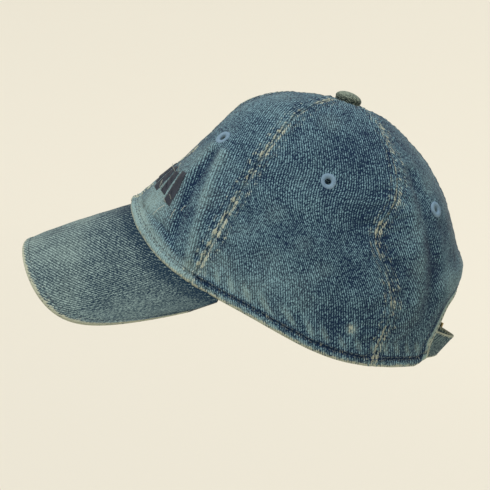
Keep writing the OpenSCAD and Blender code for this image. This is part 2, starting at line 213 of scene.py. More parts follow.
# Each fold: its line over the crown, its height in millimetres and its half width
FOLDS = [
    ([(-58, 0.57), (-58, 0.60), (-57, 0.67), (-58, 0.72)], 1.4, 3.6),
    ([(-54.5, 0.60), (-51.5, 0.69), (-49.5, 0.76), (-45.5, 0.85), (-44, 0.89)], -2.7, 4.2),
    ([(-46, 0.58), (-44, 0.635), (-40, 0.725), (-37, 0.79), (-33.5, 0.88), (-31.5, 0.95)], 2.5, 3.3),
    ([(-74, 0.94), (-64, 0.925), (-51.5, 0.908), (-43, 0.925), (-30.5, 0.972)], -1.7, 2.0),
    ([(-106, 0.94), (-120, 0.922), (-131, 0.908), (-139, 0.93), (-150, 0.972)], -1.5, 2.0),
    ([(66, 0.73), (78, 0.69), (90, 0.68), (102, 0.69), (114, 0.73)], 3.4, 8.8),
    ([(-112, 0.60), (-132, 0.78), (-143, 0.93)], 1.4, 5),
    ([(-106, 0.66), (-124, 0.83), (-133, 0.93)], -1.3, 5),
    ([(34, 0.40), (41, 0.62), (47, 0.84)], 1.4, 5),
    ([(41, 0.40), (48, 0.60), (54, 0.80)], -1.3, 5),
    ([(50, 0.62), (58, 0.70), (64, 0.72)], -0.9, 4),
    ([(147, 0.36), (140, 0.60), (133, 0.86)], 1.3, 5.5),
    ([(141, 0.42), (133, 0.62), (126, 0.80)], -1.1, 5),
    ([(11, 0.60), (14, 0.78), (17, 0.92)], -0.8, 7),
    ([(-14, 0.30), (-4, 0.60), (2, 0.88)], 0.7, 9),
    ([(196, 0.35), (188, 0.62), (183, 0.86)], 0.9, 9),
    ([(172, 0.60), (168, 0.80), (163, 0.92)], -0.8, 7),
]
# Each swelling or dent: where, its height and its radius
DENTS = [
    ((20, 0.64), -2.6, 15),
    ((160, 0.62), -1.6, 17),
    ((-48, 0.42), 0.9, 22),
    ((-90, 0.42), 1.2, 13),
    ((-90, 0.60), -4.2, 25),
    ((-90, 0.86), -1.6, 13),
]


def sway(t, points):
    """How far the cloth stands out from the CAD surface, inner trim and all."""
    out = wave_field(points, 62, 0.55, 4, 0) + wave_field(points, 27, 0.38, 6, 1)
    for stops, height, width in FOLDS:
        out = out + height * hill(near_line(points, stops), width)
    for place, height, radius in DENTS:
        out = out + height * hill(near_spot(points, place), radius)
    held = 1 - 0.75 * smooth(t, 0.90, 1.0)
    return out * held * smooth(t, 0.03, 0.16)


def straight(angle):
    return lambda t: np.full_like(t, angle)


SEAMS = {
    "front": straight(-90),
    "back": straight(90),
    "front_left": straight(FRONT_SEAM),
    "front_right": straight(180 - FRONT_SEAM),
    "back_left": back_seam,
    "back_right": lambda t: 180 - back_seam(t),
}


def seam_gap(name, phi, t, points):
    """Signed distance from a seam along the crown, positive towards larger angles."""
    line = SEAMS[name](t)
    turn = (phi - line + 180) % 360 - 180
    return np.sign(turn) * norm(points - crown(line, t))


def hem_lift(phi):
    """How far the hem is drawn up where it turns into the back opening, in millimetres."""
    return 4.2 * smooth(ARCH_HALF - np.abs(phi - 90), -8.5, 0.5) ** 1.5


def hem_gap(phi, points):
    return norm(points - crown(phi, 1)) - hem_lift(phi)


def arch_gap(phi, t):
    """Distance outside the back opening's edge, in millimetres."""
    side = (phi - 90) / ARCH_HALF
    up = (1 - t) / ARCH_T
    return (np.hypot(side, up) - 1) * ARCH_SIZE


RUBBED_SPOT = (22, 0.905)
# Each paler or darker place: where, how much and its radius
WASHED = [
    ((8, 0.52), -0.35, 40),
    ((172, 0.52), -0.35, 40),
    ((25, 0.90), -0.20, 16),
    ((52, 0.55), -0.25, 14),
    ((76, 0.70), -0.45, 14),
    ((104, 0.70), -0.45, 14),
    ((-14, 0.93), 0.42, 20),
    ((194, 0.93), 0.42, 20),
    ((-62, 0.62), 0.35, 15),
    ((-90, 0.20), 0.20, 35),
    ((-66, 0.85), 1.15, 18),
    ((-106, 0.84), 0.90, 18),
    ((70, 0.35), 0.20, 26),
    (RUBBED_SPOT, 1.3, 3.6),
]


def near_spot(points, place):
    return norm(points - crown(*place))


def washed(points):
    """Broad fading of the dye: above 0 where it is paler, below 0 in the creases."""
    out = 0.13 * wave_field(points, 21, 1.0, 6, 5)
    for place, amount, radius in WASHED:
        out = out + amount * hill(near_spot(points, place), radius)
    for stops, height, width in FOLDS:
        out = out + 0.20 * height * hill(near_line(points, stops), 0.9 * width)
    return out


SEAM_STITCH, HEM_STITCH, ARCH_STITCH = 4.3, 5.1, 7.2  # how far in from a seam, hem or rim they run


def sine(length, run, shift=0.0):
    return np.sin(2 * math.pi * run / length + shift)


def seam_relief(i, name, phi, t, points, wobble):
    """A seam's lap, groove, stitch line and puckers: height, wear and fading."""
    d = seam_gap(name, phi, t, points) * (-1 if name == "front_left" else 1)
    far = np.abs(d)
    run = t * SEAM_RUN
    lap = np.where(d < 0, 1.0, 0.35)
    groove = 0.45 if name.startswith("back") else 0.8
    calm = 0.25 if name in ("front", "back") else 1.0
    ripple = sine(6.2, run, wobble + i) + 0.6 * sine(3.7, run, 2 * wobble)
    height = 0.55 * lap * smooth(far, 0.3, 1.5) * fall(far, 5, 7) - groove * hill(far, 0.75)
    height += 0.36 * calm * hill(far - 3.4, 3.0) * ripple - 0.42 * hill(far - SEAM_STITCH, 0.75)
    height += 0.34 * calm * hill(far - 9.5, 4.5) * sine(9.5, run + 0.5 * d, wobble)
    patchy = np.clip(0.78 + 0.45 * np.sin(run / 7.3 + 2.3 * i) * np.sin(run / 4.1 + i + wobble), 0.4, 1.0)
    ridge = 0.93 * hill(far - 1.2, 1.5) * (0.8 + 0.2 * lap) * patchy + 0.42 * hill(far - 5.2, 1.6)
    wear = ridge * (0.84 + 0.16 * ripple) * (1 - 0.5 * hill(far, 0.4))
    pucker = sine(8.3, run, 1.7 * wobble + 2.1 * i + 0.6 * np.sign(d))
    fade_and_shade = 0.42 * hill(far, 2.6) * (0.45 + 0.55 * pucker)
    fade_and_shade -= 0.5 * hill(far - 3.8, 1.9) * smooth(-pucker, -0.3, 0.9)
    return height, wear, fade_and_shade


def hem_relief(phi, points, wobble):
    """The hem's fold, stitch line and slanting puckers, and the faded band over the bill."""
    hem = hem_gap(phi, points)
    slant = 2 * math.pi * (phi * 1.4 + 0.55 * hem) / 5.4
    over_bill = smooth(-np.sin(np.radians(phi)), 0.40, 0.50)
    loose = (1 - over_bill) * fall(ARCH_HALF - np.abs(phi - 90), -1, 1)
    height = 0.45 * fall(hem, 6.0, 7.6) - 0.7 * hill(hem - HEM_STITCH, 1.0)
    height += 0.36 * hill(hem - 4.0, 2.6) * np.sin(slant + wobble) - 0.7 * fall(hem, 0, 0.9)
    height += 0.28 * hill(hem - 10, 4) * np.sin(slant * 0.7 + 2 * wobble)
    height += over_bill * (0.75 * hill(hem - 2.6, 2.2) - 0.5 * hill(hem - 7.5, 1.4))
    edge = 0.95 * hill(hem - 0.5, 1.5) * (0.85 + 0.15 * np.sin(slant * 2.2))
    stitched = 0.45 * hill(hem - 5.2, 2.0) * (0.5 + 0.5 * np.sin(slant + wobble + 0.6))
    wear = np.maximum(np.maximum(edge, stitched), over_bill * 0.45 * hill(hem - 0.6, 1.3))
    fade_and_shade = 0.8 * hill(hem - 1.4, 1.9) * (0.55 + 0.45 * np.sin(slant + wobble))
    fade_and_shade -= 2.0 * hill(hem - HEM_STITCH, 1.3)
    fade_and_shade += 0.85 * hill(hem - 10.5, 3.6) * smooth(np.sin(slant * 0.66 + wobble), -0.2, 0.95)
    band = 0.85 * fall(hem, 7, 10.5) + 0.2 * fall(hem, 8, 26)
    return height, wear, loose * fade_and_shade + over_bill * band


def arch_relief(phi, t):
    """The bound rim of the back opening and its stitch line."""
    rim = arch_gap(phi, t)
    height = 0.40 * fall(np.abs(rim), 8, 9.5) - 0.4 * hill(rim - ARCH_STITCH, 0.7)
    height += 0.9 * hill(rim - 0.8, 2.2) - 0.8 * fall(rim, 0, 1)
    wear = 0.95 * hill(rim, 3.4) + 0.3 * hill(rim - 8.5, 1.5)
    return height, wear, 1.9 * fall(rim, 3.4, 4.8) - 1.3 * hill(rim - 5.8, 1.2)


def top_relief(phi, t, points, wobble):
    """The six seams gathered under the button, and one rubbed spot low on the left."""
    height = 0.2 * fall(t, 0.05, 0.17) * np.sin(np.radians(phi) * 24 + wobble)
    height += 0.9 * hill(np.hypot(points[..., 0], points[..., 1]), 9.5)
    return height, 0.8 * hill(near_spot(points, RUBBED_SPOT), 2.6), 0


def fine_relief(phi, t, points):
    """The outer face close up: height in millimetres, wear from 0 to 1, and fading."""
    wobble = wave_field(points, 30, 1.1, 4, 4)
    parts = [seam_relief(i, name, phi, t, points, wobble) for i, name in enumerate(SEAMS)]
    parts += [hem_relief(phi, points, wobble), arch_relief(phi, t), top_relief(phi, t, points, wobble)]
    heights, wears, fades = zip(*parts)
    height = wave_field(points, 9, 0.10, 6, 2) + wave_field(points, 15, 0.14, 5, 3) + sum(heights)
    return height, np.clip(np.max(wears, 0), 0, 1), washed(points) + sum(fades)


def cloth_point(phi, t, depth):
    """Point at a depth under the crown's outer face, with the cloth's sway."""
    phi, t = np.broadcast_arrays(np.asarray(phi, float), np.asarray(t, float))
    base = crown(phi, t)
    lift = sway(t, base) - depth
    return base + lift[..., None] * crown_normal(phi, t)


# ---- meshes


def make_mesh(name, verts, faces, layers=None, sharp=52):
    """Object from points in millimetres, with layers of numbers per point."""
    used, faces = np.unique(np.asarray(faces), return_inverse=True)
    faces = faces.reshape(-1, 4)
    mesh = bpy.data.meshes.new(name)
    mesh.from_pydata((np.asarray(verts)[used] * MM).tolist(), [], tidy_faces(faces))
    mesh.polygons.foreach_set("use_smooth", [True] * len(mesh.polygons))
    for key, values in (layers or {}).items():
        values = np.asarray(values, np.float32)[used]
        if values.ndim == 2:
            mesh.attributes.new(key, "FLOAT_VECTOR", "POINT").data.foreach_set("vector", values.ravel())
        else:
            mesh.attributes.new(key, "FLOAT", "POINT").data.foreach_set("value", values)
    mesh.update()
    mesh.set_sharp_from_angle(angle=math.radians(sharp))
    obj = bpy.data.objects.new(name, mesh)
    bpy.context.scene.collection.objects.link(obj)
    return obj


def tidy_faces(faces):
    """Four-corner faces, with a repeated corner dropped."""
    out = []
    for f in faces.tolist():
        g = [v for i, v in enumerate(f) if v != f[i - 1]]
        if len(g) > 2:
            out.append(g)
    return out


def sheet_faces(rows, cols, keep):
    """Both skins of a sheet, and walls wherever the kept cells end."""
    idx = np.arange(rows * cols).reshape(rows, cols)
    a, b, c, d = idx[:-1, :-1], idx[1:, :-1], idx[1:, 1:], idx[:-1, 1:]
    n = rows * cols
    pad = np.pad(keep, 1)
    faces = [np.stack([a, b, c, d], -1)[keep], (np.stack([a, d, c, b], -1) + n)[keep]]
    sides = [(a, b, pad[1:-1, :-2]), (b, c, pad[2:, 1:-1]), (c, d, pad[1:-1, 2:]), (d, a, pad[:-2, 1:-1])]
    for p, q, beyond in sides:
        edge = keep & ~beyond
        faces.append(np.stack([q, p, p + n, q + n], -1)[edge])
    return np.concatenate(faces)


def sheet(name, outer, inner, layers, keep=None, sharp=52):
    """Closed sheet between two equal grids of points."""
    rows, cols = outer.shape[:2]
    keep = np.ones((rows - 1, cols - 1), bool) if keep is None else keep
    verts = np.concatenate([outer.reshape(-1, 3), inner.reshape(-1, 3)])
    doubled = {}
    for key, values in layers.items():
        values = np.broadcast_to(values, (rows, cols) + values.shape[2:])
        flat = values.reshape(rows * cols, -1)
        flat = np.concatenate([flat, flat])
        doubled[key] = flat if flat.shape[1] == 3 else flat[:, 0]
    return make_mesh(name, verts, sheet_faces(rows, cols, keep), doubled, sharp)


def row_of(first, last, count):
    return np.linspace(first, last, count)[None, :]


def column_of(first, last, count):
    return np.linspace(first, last, count)[:, None]


def lengths(line):
    """Lengths of the steps between neighbouring points of a line."""
    return norm(np.diff(line, axis=0))


def cloth_map(grid, seed):
    """Flat coordinates in millimetres over a grid, measured from its middle column."""
    half = grid.shape[1] // 2
    across = norm(np.diff(grid, axis=1))
    u = np.concatenate([np.zeros((len(grid), 1)), np.cumsum(across, 1)], 1)
    v = np.concatenate([[0], np.cumsum(lengths(grid[:, half]))])
    return points_of(u - u[:, half : half + 1], v[:, None], seed * 41.0)


def finish_piece(obj, material, nodes=()):
    """Material, slot and replaced CAD nodes of a piece that rides on the cap."""
    obj.data.materials.append(material)
    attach(obj, "cap")
    if nodes:
        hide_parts(*nodes)


# ---- materials


def add(tree, kind, ins=None, **props):
    node = tree.nodes.new("ShaderNode" + kind)
    for key, value in props.items():
        setattr(node, key, value)
    for key, value in (ins or {}).items():
        socket = node.inputs[key]
        if isinstance(value, bpy.types.NodeSocket):
            tree.links.new(value, socket)
        else:
            socket.default_value = value
    return node


def calc(tree, op, a, b=0.0, clamp=False):
    return add(tree, "Math", {0: a, 1: b}, operation=op, use_clamp=clamp).outputs[0]


def total(tree, parts, start=0.0, clamp=False):
    """The start plus the sum of value times share, over pairs of a value and its share."""
    result = start
    for i, (value, share) in enumerate(parts):
        part = calc(tree, "MULTIPLY", value, share)
        result = calc(tree, "ADD", part, result, clamp and i == len(parts) - 1)
    return result


def mix(tree, factor, a, b):
    return add(tree, "Mix", {0: factor, 6: a, 7: b}, data_type="RGBA").outputs[2]


def noise(tree, vector, scale, detail=3.0, rough=0.6):
    ins = {"Vector": vector, "Scale": scale, "Detail": detail, "Roughness": rough}
    return add(tree, "TexNoise", ins).outputs["Fac"]


def turned(tree, vector, angle, scale):
    ins = {"Vector": vector, "Rotation": (0, 0, math.radians(angle)), "Scale": scale}
    return add(tree, "Mapping", ins).outputs[0]


def ramp(tree, value, low, high):
    ins = {0: value, 1: low, 2: high, 3: 0.0, 4: 1.0}
    return add(tree, "MapRange", ins, interpolation_type="SMOOTHSTEP").outputs[0]


def srgb(r, g, b):
    def lin(v):
        v /= 255
        return v / 12.92 if v <= 0.04045 else ((v + 0.055) / 1.055) ** 2.4

    return (lin(r), lin(g), lin(b), 1.0)


def new_material(name):
    material = bpy.data.materials.new(name)
    material.use_nodes = True
    tree = material.node_tree
    tree.nodes.clear()
    out = add(tree, "OutputMaterial")
    shader = add(tree, "BsdfPrincipled")
    tree.links.new(shader.outputs[0], out.inputs[0])
    return material, tree, shader


def attribute(tree, name, output="Fac"):
    return add(tree, "Attribute", attribute_name=name).outputs[output]


def plug(tree, shader, **values):
    """Link values to the shader's inputs; an underscore stands for a space in an input's name."""
    for key, value in values.items():
        tree.links.new(value, shader.inputs[key.replace("_", " ")])


def bump(tree, height, strength, distance):
    return add(tree, "Bump", {"Height": height, "Strength": strength, "Distance": distance}).outputs[0]


def bands(tree, vector, pitch, distortion, detail, direction="X"):
    """Wavy lines a pitch apart, in millimetres, for threads."""
    ins = {"Vector": vector, "Scale": 0.314 / pitch, "Distortion": distortion, "Detail": detail}
    return add(tree, "TexWave", ins, wave_type="BANDS", bands_direction=direction)


def denim(name, dark, light, angle=24.0, pitch=1.3, contrast=1.0, worn=1.0, level=0.30):
    """Washed denim: broken twill lines, streaks, mottling, pale ridges and cream wear, with painted
    highlight on raised cloth and painted shade in grooves from the relief layer.
    """
    material, tree, shader = new_material(name)
    cloth = attribute(tree, "cloth", "Vector")
    relief, fade_and_shade, wear = (attribute(tree, layer) for layer in ("relief", "fade_and_shade", "wear"))
    lines = bands(tree, turned(tree, cloth, angle, (1, 1, 1)), pitch, 1.0, 2.0)
    lines.inputs["Detail Scale"].default_value = 1.4
    lines.inputs["Detail Roughness"].default_value = 0.6
    twill = lines.outputs["Fac"]
    dash = noise(tree, turned(tree, cloth, angle, (1.5, 0.75, 1)), 1.0, 2.0)
    weft = noise(tree, turned(tree, cloth, 0.0, (0.22, 1.7, 1)), 0.7, 2.0)
    warp = noise(tree, turned(tree, cloth, 0.0, (1.3, 0.05, 1)), 0.8)
    speck, patch = noise(tree, cloth, 1.15, 3.0, 0.85), noise(tree, cloth, 0.34, 2.0)
    mottle, cloud = noise(tree, cloth, 0.075, 4.0, 0.62), noise(tree, cloth, 0.022, 3.0, 0.5)
    fleck = ramp(tree, dash, 0.38, 0.62)
    thread = calc(tree, "MULTIPLY", twill, total(tree, [(fleck, 0.85)], 0.25))
    thread = calc(tree, "MULTIPLY", thread, total(tree, [(patch, 0.9)], 0.5))
    grain = ((fleck, 0.22), (weft, 0.12), (warp, 0.6), (speck, 1.9), (mottle, 0.55), (cloud, 0.35))
    parts = [(value, share * contrast) for value, share in grain]
    mean = 0.5 * sum(share for value, share in parts) + THREAD_MEAN * THREAD_SHARE * contrast
    # The relief layer paints highlight on raised cloth and shade in grooves, dents and folds; the fading
    # layer also carries painted shade on the bill's root and painted light on the button.
    parts += [(thread, THREAD_SHARE * contrast), (relief, 0.13), (fade_and_shade, 0.30)]
    colour = mix(tree, total(tree, parts, level - mean, True), dark, light)
    colour = mix(tree, calc(tree, "MULTIPLY", fade_and_shade, 0.28, True), colour, PALE)
    rub = total(tree, [(dash, 1.9), (patch, 1.5), (twill, 0.35), (wear, 1.2 * worn)], -2.425)
    colour = mix(tree, calc(tree, "MULTIPLY", ramp(tree, rub, 0.0, 0.6), 0.8), colour, CREAM)
    height = total(tree, [(twill, 0.7), (dash, 0.5), (noise(tree, cloth, 0.16, 2.0), 0.6)])
    plug(tree, shader, Base_Color=colour, Roughness=total(tree, [(speck, 0.16)], 0.80))
    plug(tree, shader, Normal=bump(tree, height, 0.32, 0.0002))
    shader.inputs["Specular IOR Level"].default_value = 0.22
    shader.inputs["Sheen Weight"].default_value = 0.05
    shader.inputs["Sheen Roughness"].default_value = 0.45
    return material


def thread_material(name, colour, pale, amount=0.4, rough=0.6):
    """Sewing thread: fine twist by noise, faded in places."""
    material, tree, shader = new_material(name)
    place = add(tree, "TexCoord").outputs["Object"]
    fade_and_shade, fibre = noise(tree, place, 160.0), noise(tree, place, 2600.0, 2.0)
    tone = total(tree, [(fade_and_shade, amount), (fibre, 0.35)], 0.0, True)
    plug(tree, shader, Base_Color=mix(tree, tone, colour, pale))
    plug(tree, shader, Roughness=total(tree, [(fibre, 0.2)], rough), Normal=bump(tree, fibre, 0.4, 0.0001))
    return material


def woven(name, dark, light, pitch=0.9):
    """Plain cotton weave for tapes, sweatband and label."""
    material, tree, shader = new_material(name)
    cloth = attribute(tree, "cloth", "Vector")
    over, under = (bands(tree, cloth, pitch, 0.8, 1.0, way).outputs["Fac"] for way in "XY")
    grime = noise(tree, cloth, 0.09, 4.0)
    height = calc(tree, "MULTIPLY", over, under)
    tone = total(tree, [(height, 0.35), (grime, 0.9)], 0.0, True)
    plug(tree, shader, Base_Color=mix(tree, tone, dark, light))
    plug(tree, shader, Roughness=total(tree, [(grime, 0.1)], 0.85), Normal=bump(tree, height, 0.4, 0.0003))
    return material


def metal(name, colour, tarnish, rough):
    """Metal with tarnished spots and fine scratches."""
    material, tree, shader = new_material(name)
    place = add(tree, "TexCoord").outputs["Object"]
    spots = noise(tree, place, 130.0)
    scratch = noise(tree, turned(tree, place, 0.0, (3, 3, 0.3)), 1800.0, 2.0)
    worn = total(tree, [(ramp(tree, spots, 0.3, 0.75), 1.0), (scratch, 0.25)], 0.0, True)
    plug(tree, shader, Base_Color=mix(tree, worn, colour, tarnish))
    plug(tree, shader, Roughness=total(tree, [(spots, 0.3)], rough))
    plug(tree, shader, Normal=bump(tree, scratch, 0.25, 0.00005))
    shader.inputs["Metallic"].default_value = 1.0
    return material


CREAM = srgb(176, 180, 160)
PALE = srgb(142, 158, 146)
THREAD_SHARE, THREAD_MEAN = 0.85, 0.36
DENIM = denim("denim", srgb(2, 31, 60), srgb(128, 166, 178), 24.0, 1.35, 1.12, 1.15, 0.22)
BILL_DENIM = denim("bill_denim", srgb(12, 40, 60), srgb(150, 174, 172), -62.0, 1.6, 0.95, 1.0, 0.30)
UNDER_DENIM = denim("under_denim", srgb(12, 40, 60), srgb(136, 160, 162), -62.0, 1.6, 0.9, 1.0, 0.32)
BUTTON_DENIM = denim("button_denim", srgb(16, 34, 38), srgb(150, 162, 146), 24.0, 1.2, 1.3, 1.0, 0.40)
STRAP_DENIM = denim("strap_denim", srgb(14, 38, 56), srgb(138, 164, 166), 20.0, 1.35, 1.0, 1.1, 0.30)
SEAM_THREAD = thread_material("seam_thread", srgb(28, 46, 62), srgb(98, 116, 122), 0.5)
PALE_THREAD = thread_material("pale_thread", srgb(120, 138, 142), srgb(196, 198, 184), 0.8)
EYELET_THREAD = thread_material("eyelet_thread", srgb(66, 98, 126), srgb(138, 166, 186), 0.6)
MOTIF_THREAD = thread_material("motif_thread", srgb(8, 14, 26), srgb(40, 54, 76), 0.35, 0.55)
TAPE = woven("tape", srgb(120, 118, 104), srgb(206, 202, 184), 0.8)
BAND = woven("sweatband", srgb(128, 124, 108), srgb(214, 208, 188), 0.7)
LABEL = woven("label", srgb(190, 188, 180), srgb(240, 238, 230), 0.5)
BOARD = woven("board", srgb(60, 62, 64), srgb(84, 86, 88), 1.5)
BRASS = metal("brass", srgb(172, 152, 108), srgb(116, 100, 72), 0.26)
STEEL = metal("steel", srgb(190, 192, 194), srgb(120, 122, 124), 0.3)


# ---- crown panels

NEAR_SEAM = [0, 0.4, 0.9, 1.5, 2.3, 3.2, 3.8, 4.3, 4.9, 5.7, 6.7, 8]
NEAR_HEM = [0, 0.35, 0.8, 1.4, 1.9, 2.5, 3.4, 4.1, 4.7, 5.3, 6.0, 6.8, 7.8, 9.2, 11]
MIDDLE_COLS, MIDDLE_ROWS = 42, 96
TOP_T = 0.02


def seam_columns(width):
    """Shares of a panel's width for its columns: close together beside the seams, for each row."""
    near = np.array(NEAR_SEAM)[None, :] / np.maximum(width, 1)[:, None]
    near = near * np.minimum(1, 0.3 / near[:, -1:])
    steps = np.linspace(0, 1, MIDDLE_COLS + 2)[1:-1][None, :]
    middle = near[:, -1:] + (1 - 2 * near[:, -1:]) * steps
    return np.concatenate([near, middle, 1 - near[:, ::-1]], 1)


def hem_rows():
    """Values of t down a panel, close together beside the hem."""
    near = 1 - np.array(NEAR_HEM)[::-1] / SIDE_RUN
    return np.concatenate([np.linspace(TOP_T, near[0], MIDDLE_ROWS, endpoint=False), near])


def panel_grid(a, b, t_end):
    """Angles and t over a panel between seams a and b, that ends at t_end (a number for each share)."""
    t_plain = hem_rows()
    width = norm(crown(a(t_plain), t_plain) - crown(b(t_plain), t_plain))
    shares = seam_columns(width)
    ends = t_end(shares[-1]) if t_end else np.ones(shares.shape[1])
    t = TOP_T + (t_plain[:, None] - TOP_T) * (ends[None, :] - TOP_T) / (1 - TOP_T)
    return a(t) + (b(t) - a(t)) * shares, t


def beyond_hole(points, place):
    """Cells of a grid that lie outside an eyelet's hole."""
    return near_spot((points[:-1, :-1] + points[1:, 1:]) / 2, place) > EYELET_HOLE


def panel(name, phi, t, place, seed):
    """One crown panel with its seams, hem and folds."""
    base = crown(phi, t)
    normal = crown_normal(phi, t)
    lie = sway(t, base)
    relief, wear, fade_and_shade = fine_relief(phi, t, base)
    outer = base + (lie + relief)[..., None] * normal
    inner = base + (lie - PANEL_T + 0.1 * relief)[..., None] * normal
    # Adding part of the lie to the relief layer paints shade into folds and dents and highlight on bulges.
    layers = {"cloth": cloth_map(base, seed), "relief": relief + 0.3 * lie, "wear": wear, "fade_and_shade": fade_and_shade}
    return sheet(name, outer, inner, layers, beyond_hole(base, place))


def arch_end(share):
    """Where the back panels end at the opening, as t, for a share of the way to the centre back."""
    theta = np.linspace(0, 90, 400)
    edge_phi, edge_t = arch(theta, 1.0)
    seam = back_seam(edge_t)
    edge_share = (edge_phi - seam) / (90 - seam)
    edge_t = np.where(theta < 3, 1.0, edge_t)
    end = np.where(share < edge_share[0], 1.0, np.interp(share, edge_share, edge_t))
    phi = back_seam(1.0) + (90 - back_seam(1.0)) * share
    return np.minimum(end, 1 - hem_lift(phi) / BACK_RUN)


def mirrored(phi, t, place):
    """The same grid on the wearer's right, columns reversed so that it still faces outward."""
    return 180 - phi[:, ::-1], t[:, ::-1], (180 - place[0], place[1])


PANELS = {
    "front": (SEAMS["front"], SEAMS["front_left"], None),
    "side": (SEAMS["front_left"], back_seam, None),
    "back": (back_seam, SEAMS["back"], arch_end),
}


def build_panels():
    built = {}
    seed = 1
    for place, (a, b, end) in PANELS.items():
        phi, t = panel_grid(a, b, end)
        grids = {"left": (phi, t, EYELETS[place]), "right": mirrored(phi, t, EYELETS[place])}
        for side, (p, q, spot) in grids.items():
            name = f"{place}_panel_{side}"
            obj = panel(name, p, q, spot, seed)
            finish_piece(obj, DENIM, [f"crown_panel_{place}_{side}"])
            built[name] = obj
            seed += 1
    return built


panels = build_panels()
bpy.context.view_layer.update()


# ---- stitches

STITCH_SIDES, STITCH_RINGS = 6, 5
MIDDLE_STITCH = 4.2  # from the front and back seams to their rows of stitches


def tube_faces(rings, sides):
    """Faces of a tube of rings, with two four-corner faces to close each end of a six-sided one."""
    idx = np.arange(rings * sides).reshape(rings, sides)
    nxt = np.roll(idx, -1, 1)
    walls = np.stack([idx[:-1], nxt[:-1], nxt[1:], idx[1:]], -1).reshape(-1, 4)
    first, last = idx[0], idx[-1]
    ends = [first[[0, 3, 2, 1]], first[[0, 5, 4, 3]], last[[0, 1, 2, 3]], last[[0, 3, 4, 5]]]
    return np.concatenate([walls, ends])


def stitch_template():
    """Capsule along X, one long and one thick."""
    x = column_of(-0.5, 0.5, STITCH_RINGS)
    r = np.maximum(1 - (2 * x) ** 4, 0.0) ** 0.5 + 0.02
    angles = np.arange(STITCH_SIDES) * 2 * math.pi / STITCH_SIDES
    verts = points_of(x, r * np.cos(angles), r * np.sin(angles))
    return verts.reshape(-1, 3), tube_faces(STITCH_RINGS, STITCH_SIDES)


def resample(line, normals, step):
    """Points at even steps along a line, with their normals and directions."""
    run = np.concatenate([[0], np.cumsum(lengths(line))])
    marks = np.arange(step / 2, run[-1], step)

    def at(places, values):
        return np.stack([np.interp(places, run, column) for column in values.T], -1)

    heading = at(marks + 0.5, line) - at(marks - 0.5, line)
    return at(marks, line), unit(at(marks, normals)), unit(heading)


def stitches(name, lines, pitch=3.3, length=2.5, radius=0.28, miss=0.06, sink=0.5):
    """One mesh of stitches along lines, each a pair of points and normals; a few are worn away."""
    rng = np.random.default_rng(SEED + sum(map(ord, name)))
    shape, faces = stitch_template()
    x, y, z = (shape[:, k : k + 1] for k in range(3))
    verts = []
    for line, normals in lines:
        for p, n, a in zip(*resample(line, normals, pitch)):
            if rng.random() < miss:
                continue
            side = np.cross(n, a)
            scale = length * rng.uniform(0.85, 1.08)
            spot = p + n * (radius * (1 - 2 * sink)) + side * rng.normal(0, 0.08)
            verts.append(spot + x * scale * a + y * radius * side + z * radius * 0.8 * n)
    starts = np.arange(len(verts))[:, None, None] * len(shape)
    return make_mesh(name, np.concatenate(verts), (faces + starts).reshape(-1, 4), sharp=80)


def skin_line(phi, t):
    """Points and normals on the outer skin along a line over the crown."""
    base = crown(phi, t)
    normal = crown_normal(phi, t)
    relief = fine_relief(phi, t, base)[0]
    lift = sway(t, base) + relief
    return base + lift[:, None] * normal, normal


def beside_seam(name, gap, t0=0.06, t1=0.985):
    """Line at a distance from a seam, positive towards larger angles."""
    t = np.linspace(t0, t1, 260)
    line = SEAMS[name](t)
    radius = norm(crown(line + 0.5, t) - crown(line - 0.5, t))
    half = np.minimum(np.abs(gap) / radius, 14) * np.sign(gap)
    return skin_line(line + half, t)


def hem_line(gap, low, high):
    phi = np.linspace(low, high, 700)
    down = norm(crown(phi, 1) - crown(phi, 0.95))
    return skin_line(phi, 1 - 0.05 * (gap + hem_lift(phi)) / down)


def arch_line(gap):
    theta = np.linspace(9, 171, 300)
    phi, t = arch(theta, 1 + gap / ARCH_SIZE)
    return skin_line(phi, t)


def sew(name, lines, pitch=3.3, length=2.5, radius=0.28):
    finish_piece(stitches(name, lines, pitch, length, radius), SEAM_THREAD)


def build_stitches():
    corner = 90 - ARCH_HALF - 4
    seam_lines = [beside_seam("front", MIDDLE_STITCH), beside_seam("front", -MIDDLE_STITCH)]
    for name, lap in (("front_left", 1), ("front_right", -1), ("back_left", -1), ("back_right", 1)):
        seam_lines.append(beside_seam(name, SEAM_STITCH * lap))
    seam_lines += [beside_seam("back_left", SEAM_STITCH), beside_seam("back_right", -SEAM_STITCH)]
    seam_lines += [beside_seam("back", gap, 0.06, 0.70) for gap in (MIDDLE_STITCH, -MIDDLE_STITCH)]
    sew("seam_stitches", seam_lines)
    sew("hem_stitches", [hem_line(gap, -180 - corner, corner) for gap in (5.9, 4.3)], 3.1, 2.3)
    sew("arch_stitches", [arch_line(2.0), arch_line(ARCH_STITCH)], 3.0, 2.3)


build_stitches()


# ---- inside of the crown: tapes, sweatband, facing and label


FIRST_T, TAPE_HALF, BAND_WIDTH = 0.12, 6, 32
FACING_FROM, FACING_TO = 1.012, 1 + 8 / 36  # as shares of the opening's size
TAPES = {
    "front": (-90, 0),
    "front_left": (FRONT_SEAM, 0),
    "front_right": (180 - FRONT_SEAM, 0),
    "back_left": (BACK_SEAM, BACK_SEAM_RUN),
    "back_right": (180 - BACK_SEAM, -BACK_SEAM_RUN),
}


def lining(name, node, phi, t, depths, seed, slot, material, **extra):
    """Sheet of cloth inside the crown, between two depths under the panels' outer face."""
    outer, inner = (cloth_point(phi, t, depth) for depth in depths)
    obj = sheet(name, outer, inner, {"cloth": cloth_map(outer, seed), **extra})
    finish_piece(obj, material, [node])
    return obj, outer


